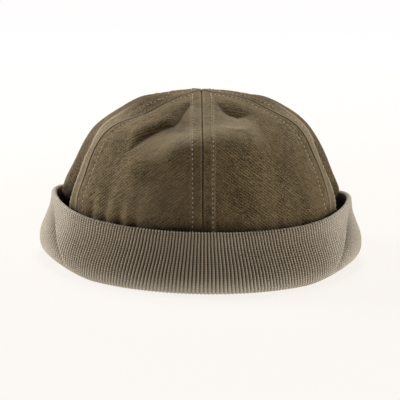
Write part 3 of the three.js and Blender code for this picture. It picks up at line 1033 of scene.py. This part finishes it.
def foldLift(azimuth):
    aside = np.abs(np.sin(azimuth))
    share = np.maximum(aside - cuff["foldFlatShare"], 0) / (1 - cuff["foldFlatShare"])
    return cuff["foldSideRise"] * share * share * (2 - share)


def rimTop(azimuth):
    side = np.sin(azimuth)
    return cuff["rimHeight"] + cuff["rimSideRise"] * side ** cuff["rimSidePower"] - cuff["lean"] * side


def creaseProud(azimuth, up):
    ridge = math.radians(cuff["creaseAzimuth"]) - math.radians(cuff["creaseTurn"]) * (1 - up)
    behind = (angleBetween(azimuth, 0) - ridge) * cuff["foldHalfWidth"]
    ridgeProud = cuff["creaseProud"] * bell(behind + 3, cuff["creaseHalfWidth"])
    hollow = smoothStep(behind, -cuff["hollowWall"] / 2, cuff["hollowWall"] / 2)
    hollow = hollow * np.exp(-np.maximum(behind, 0) / cuff["hollowWidth"]) * cuff["hollowDepth"]
    return (ridgeProud - hollow) * np.sin(math.pi * up)


def creaseShade(azimuth, up):  # painted shade in the hollow behind the crease
    ridge = math.radians(cuff["creaseAzimuth"]) - math.radians(cuff["creaseTurn"]) * (1 - up)
    behind = (angleBetween(azimuth, 0) - ridge) * cuff["foldHalfWidth"]
    hollow = smoothStep(behind, -1, 1.5) * np.exp(-np.maximum(behind, 0) / cuff["shadeWidth"])
    return cuff["creaseShade"] * hollow * np.sin(math.pi * up) ** 2


def facePoint(azimuth, up, inset):
    up = np.asarray(up, float) * np.ones_like(azimuth)
    lean = readRows(cuffFace, "up", "lean", up)
    proud = creaseProud(azimuth, up) - inset
    halfWidth = mix(cuff["foldHalfWidth"], cuff["rimHalfWidth"], lean) + proud
    halfLength = mix(cuff["foldHalfLength"], cuff["rimHalfLength"], lean) + proud
    height = mix(foldLift(azimuth), rimTop(azimuth), up)
    swing = math.radians(cuff["ribSwing"]) * (cuff["swingTurn"] - np.sin(azimuth) ** 2)
    swung = azimuth + swing * np.sin(2 * azimuth) * (1 - up)
    return ovalPoint(swung, halfWidth, halfLength, height, cuff["fullBack"])


def rimPoint(azimuth, turn):
    radius = cuff["bandThick"] / 2
    points = facePoint(azimuth, 1, radius * (1 - math.cos(turn)))
    points[..., 2] += radius * (math.sin(turn) - 1)
    return points


def foldPoint(azimuth, turn, inside):
    reach = cuff["foldRadius"] - inside
    points = facePoint(azimuth, 0, cuff["foldRadius"] - reach * math.cos(turn))
    flat = 0 if inside else cuff["foldFlatDepth"]
    points[..., 2] += max(cuff["foldRadius"] - reach * math.sin(turn) - flat, 0)
    return points


def innerLayerPoint(azimuth, share, onCrown):
    low = foldPoint(azimuth, math.pi, onCrown * cuff["bandThick"])
    low[..., 2] = foldLift(azimuth) + cuff["foldRadius"] - cuff["foldFlatDepth"]
    inset = cuff["bandThick"] * (1 - onCrown)
    top = crown["seamHeight"] - cuff["seamGap"]
    high = ovalPoint(azimuth, crown["halfWidth"] - inset, crown["halfLength"] - inset, top, crown["fullBack"])
    return mix(low, high, share)


def cuffRows(azimuth):  # the band's section as rows round the cap: a function of azimuth, the ribs' strength and how much painted shade the knit takes
    # strength and how dark the knit is
    lowFace = cuff["foldRadius"] / cuff["rimHeight"]
    highFace = 1 - cuff["bandThick"] / 2 / cuff["rimHeight"]
    inside = cuff["insideShade"]
    rows = []
    for turn in np.linspace(1, 0, 8):
        # painted shade on the rim's inner side, reaching over its top at the front
        reverse = inside * smoothStep(turn, mix(0.2, 0.6, smoothStep(np.abs(np.sin(azimuth)), 0.3, 0.8)), 1)
        rows.append((lambda a, turn=turn: rimPoint(a, math.pi * turn), 0.35 + 0.65 * (1 - turn), reverse))
    for up in np.linspace(highFace, lowFace, 20)[1:]:
        rows.append((lambda a, up=up: facePoint(a, up, 0), 1.0, creaseShade(azimuth, up)))
    for turn in np.linspace(0, 1, 10)[1:]:
        rows.append((lambda a, turn=turn: foldPoint(a, math.pi * turn, 0), 1 - 0.3 * turn, 0))
    for share in (0.25, 0.5, 0.75, 1.0):
        rows.append((lambda a, share=share: innerLayerPoint(a, share, 0), 0.6, 0))
    # painted shade inside the band
    for share in (1.0, 0.5, 0.0):
        rows.append((lambda a, share=share: innerLayerPoint(a, share, 1), 0.3, inside))
    rows.append((lambda a: foldPoint(a, math.pi / 2, cuff["bandThick"]), 0.0, inside))
    for up in np.linspace(lowFace, highFace, 10)[:-1]:
        rows.append((lambda a, up=up: facePoint(a, up, cuff["bandThick"]), 0.3, inside))
    return rows


# Ribs: a groove beside each rib of the smooth band, sunk along its normal
ribs = {
    "depth": 1.3,
    "grooveShare": 0.37,  # of the pitch
    "endStrength": 0.26,
    "frontStrength": 0.86,
    "wander": 0.25,
    "waviness": 0.12,
    "seed": 3,
}


def makeRibTree():
    tree = bpy.data.node_groups.new("knitRibs", "GeometryNodeTree")
    addInput(tree, "Geometry", "NodeSocketGeometry")
    addInput(tree, "Rib Depth", "NodeSocketFloat")
    addInput(tree, "Groove Share", "NodeSocketFloat")
    addInput(tree, "Waviness", "NodeSocketFloat")
    addInput(tree, "Seed", "NodeSocketFloat")
    addInput(tree, "Knit", "NodeSocketMaterial")
    tree.interface.new_socket("Geometry", in_out="OUTPUT", socket_type="NodeSocketGeometry")
    make = NodeMaker(tree)
    given = make.node("NodeGroupInput")
    phase = make.node("GeometryNodeInputNamedAttribute", {"data_type": "FLOAT"}, {"Name": "ribPhase"})
    strength = make.node("GeometryNodeInputNamedAttribute", {"data_type": "FLOAT"}, {"Name": "ribStrength"})
    fromGroove = ((phase + 0.5).single("FRACT") - 0.5).single("ABSOLUTE")
    share = fromGroove / given.out("Groove Share")
    sunk = make.node(
        "ShaderNodeMapRange", {"interpolation_type": "SMOOTHERSTEP"},
        {"Value": share, "From Min": 0.0, "From Max": 1.0, "To Min": 1.0, "To Max": 0.0},
    )
    groove = sunk * strength
    place = make.node("GeometryNodeInputPosition")
    uneven = make.node(
        "ShaderNodeTexNoise", {"noise_dimensions": "4D"},
        {"Vector": place, "W": given.out("Seed"), "Scale": 420.0, "Detail": 1.0},
    )
    down = (groove * given.out("Rib Depth") + uneven * given.out("Waviness") * given.out("Rib Depth")) * -1
    normal = make.node("GeometryNodeInputNormal")
    offset = make.node("ShaderNodeVectorMath", {"operation": "SCALE"}, {0: normal, "Scale": down})
    stored = make.node(
        "GeometryNodeStoreNamedAttribute", {"data_type": "FLOAT", "domain": "POINT"},
        {"Geometry": given.out("Geometry"), "Name": "groove", "Value": groove},
    )
    moved = make.node("GeometryNodeSetPosition", None, {"Geometry": stored, "Offset": offset})
    moved = make.node("GeometryNodeRealizeInstances", None, {0: moved})
    moved = make.node("GeometryNodeSetMaterial", None, {"Geometry": moved, "Material": given.out("Knit")})
    make.node("NodeGroupOutput", None, {0: moved})
    return tree


def makeCuff():
    perRib = cuff["pointsPerRib"]
    columns = cuff["ribCount"] * perRib
    phase = np.arange(columns) / perRib
    azimuth = fullTurn * phase / cuff["ribCount"]
    azimuth = azimuth - cuff["ribStretch"] * np.sin(2 * azimuth)
    sides = np.abs(np.sin(azimuth))
    strengthRound = mix(1, ribs["endStrength"], smoothStep(sides, 0.68, 0.94))
    strengthRound = strengthRound * mix(ribs["frontStrength"], 1, smoothStep(sides, 0.1, 0.4))
    rows = cuffRows(azimuth)
    points = []
    strength = []
    reverse = []
    for makeRow, amount, knitPaintedShadeShare in rows:
        ring = makeRow(azimuth)
        drift = ribs["wander"] * ripple(ring, 26, 6, ribs["seed"]) / 96
        points.append(makeRow(azimuth + drift))
        nearFold = 1 - smoothStep(ring[..., 2] - foldLift(azimuth), 0, cuff["lowFade"])
        strength.append(strengthRound * amount * (1 - cuff["lowSmooth"] * nearFold))
        reverse.append(knitPaintedShadeShare * np.ones(columns))
    points = np.array(points)
    low = points[..., 2] - foldLift(azimuth)
    stretched = smoothStep(sides, 0.55, 0.94) * np.ones((len(rows), 1))
    # painted light low on the band, along its fold
    stretched = np.maximum(stretched, cuff["lowPaintedLight"] * (1 - smoothStep(low, 1, 12)))
    length = np.cumsum(np.linalg.norm(np.diff(points, axis=0, prepend=points[:1]), axis=-1), axis=0)
    index = np.arange(len(rows) * columns).reshape(len(rows), columns)
    wrapped = np.concatenate((index, index[:1]))
    wrapped = np.concatenate((wrapped, wrapped[:, :1]), axis=1)
    corner = (wrapped[:-1, :-1], wrapped[1:, :-1], wrapped[1:, 1:], wrapped[:-1, 1:])
    faces = np.stack(corner, axis=-1).reshape(-1, 4)
    mesh = buildMesh(
        "bandCarrier", points.reshape(-1, 3), faces, ribKnit, None,
        {
            "ribPhase": (phase * np.ones((len(rows), 1))).ravel(),
            "ribStrength": np.array(strength).ravel(),
            "stretched": stretched.ravel(),
            "reverse": np.array(reverse).ravel(),
        },
    )
    across = np.broadcast_to(phase, (len(rows), columns))
    across = np.concatenate((across, np.full((len(rows), 1), float(cuff["ribCount"]))), axis=1)
    across = np.concatenate((across, across[:1]))
    loops = length / cuff["loopPitch"]
    loops = np.concatenate((loops, loops[-1:] + 3))
    loops = np.concatenate((loops, loops[:, :1]), axis=1)
    flat = np.stack((across, loops), axis=-1)
    cornerMaps = (flat[:-1, :-1], flat[1:, :-1], flat[1:, 1:], flat[:-1, 1:])
    layer = mesh.data.uv_layers.new(name="knitMap")
    layer.data.foreach_set("uv", np.stack(cornerMaps, axis=-2).astype(np.float32).ravel())
    ribbed = applyTree(mesh, makeRibTree(), {
        "Rib Depth": ribs["depth"] * millimetre,
        "Groove Share": ribs["grooveShare"],
        "Waviness": ribs["waviness"],
        "Seed": float(ribs["seed"]),
        "Knit": ribKnit,
    })
    bpy.data.objects.remove(mesh)
    ribbed.name = "cuff_knit"
    piece = bpy.data.objects.new("cuff_knit", ribbed)
    bpy.context.scene.collection.objects.link(piece)
    return piece


cuffKnit = makeCuff()
print("cuff is made")

# Each piece goes under the root body and its CAD part is hidden; the cloth's flat cut sizes are looked up but not used
frontFlat = (0.112, 0.131)
sideFlat = (0.100, 0.131)
for panel in panels:
    cloth = cloths[panel["name"]]
    stitches = rowsOfStitches[panel["name"]]
    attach(cloth, "root")
    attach(stitches, "root")
    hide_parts("panel_" + panel["name"])
    flatSize = frontFlat if "front" in panel["name"] else sideFlat
    flatSize[0] * flatSize[1] * 0.7
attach(cuffKnit, "root")
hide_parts("rib_cuff")

# Floor and light: soft boxes high on the left, low on the right and high behind. The pale floor
# glows, so that it lights the cuff from below and keeps no hard shadow.
studio = {
    "floorHalf": 8,
    "nearFloor": (0.875, 0.835, 0.795, 1),
    "farFloor": (1.0, 0.985, 0.985, 1),
    # painted shadow: the floor glows almost black under the cap
    "shadowBelowCap": (0.03, 0.03, 0.03, 1),
    "shadeRadius": 0.066,
    "shadeFade": 0.02,
    "fadeStart": 0.2,  # metres from the cap
    "fadeEnd": 1.6,
    "floorColour": (0.10, 0.10, 0.10, 1),
    "aim": (0, 0, 0.04),
    "distance": 1.3,
}

softBoxes = [
    {"name": "softLeft", "azimuth": -108, "elevation": 22, "size": (0.7, 0.7), "energy": 16},
    {"name": "softRight", "azimuth": 84, "elevation": 14, "size": (0.9, 0.7), "energy": 9},
    {"name": "softBehind", "azimuth": 180, "elevation": 66, "size": (0.6, 0.6), "energy": 13},
]


def addFloor():
    half = studio["floorHalf"]
    mesh = bpy.data.meshes.new("paleFloor")
    mesh.from_pydata([(-half, -half, 0), (half, -half, 0), (half, half, 0), (-half, half, 0)], [], [(0, 1, 2, 3)])
    material, make = newMaterial("paleFloor")
    body = make.node("ShaderNodeTexCoord").out("Object")
    away = make.node("ShaderNodeVectorMath", {"operation": "LENGTH"}, {0: body}, output=1)
    far = (away - studio["fadeStart"]) / (studio["fadeEnd"] - studio["fadeStart"])
    colour = make.blendColours(far, studio["nearFloor"], studio["farFloor"])
    # painted shadow under the cap
    below = (away - studio["shadeRadius"]) / studio["shadeFade"]
    colour = make.blendColours(below, studio["shadowBelowCap"], colour)
    glow = make.node("ShaderNodeEmission", None, {"Color": colour, "Strength": 1.0})
    matt = make.node("ShaderNodeBsdfDiffuse", None, {"Color": studio["floorColour"]})
    both = make.node("ShaderNodeAddShader", None, {0: glow, 1: matt})
    make.node("ShaderNodeOutputMaterial", None, {"Surface": both})
    mesh.materials.append(material)
    floor = bpy.data.objects.new("paleFloor", mesh)
    bpy.context.scene.collection.objects.link(floor)


def addSoftBox(box):
    turn = math.radians(box["azimuth"])
    lift = math.radians(box["elevation"])
    away = Vector((math.sin(turn) * math.cos(lift), -math.cos(turn) * math.cos(lift), math.sin(lift)))
    data = bpy.data.lights.new(box["name"], "AREA")
    data.shape = "RECTANGLE"
    data.size = box["size"][0]
    data.size_y = box["size"][1]
    data.energy = box["energy"]
    light = bpy.data.objects.new(box["name"], data)
    bpy.context.scene.collection.objects.link(light)
    place = Vector(studio["aim"]) + away * studio["distance"]
    light.matrix_world = Matrix.Translation(place) @ (-away).to_track_quat("-Z", "Y").to_matrix().to_4x4()


def addSky():
    world = bpy.data.worlds.new("studioSky")
    world.use_nodes = True
    world.node_tree.nodes.clear()
    make = NodeMaker(world.node_tree)
    sky = make.node("ShaderNodeBackground", None, {"Color": (1, 0.99, 0.98, 1), "Strength": 0.02})
    make.node("ShaderNodeOutputWorld", None, {"Surface": sky})
    bpy.context.scene.world = world


addFloor()
for softBox in softBoxes:
    addSoftBox(softBox)
addSky()
bpy.context.scene.view_settings.view_transform = "Standard"
print("studio is ready")
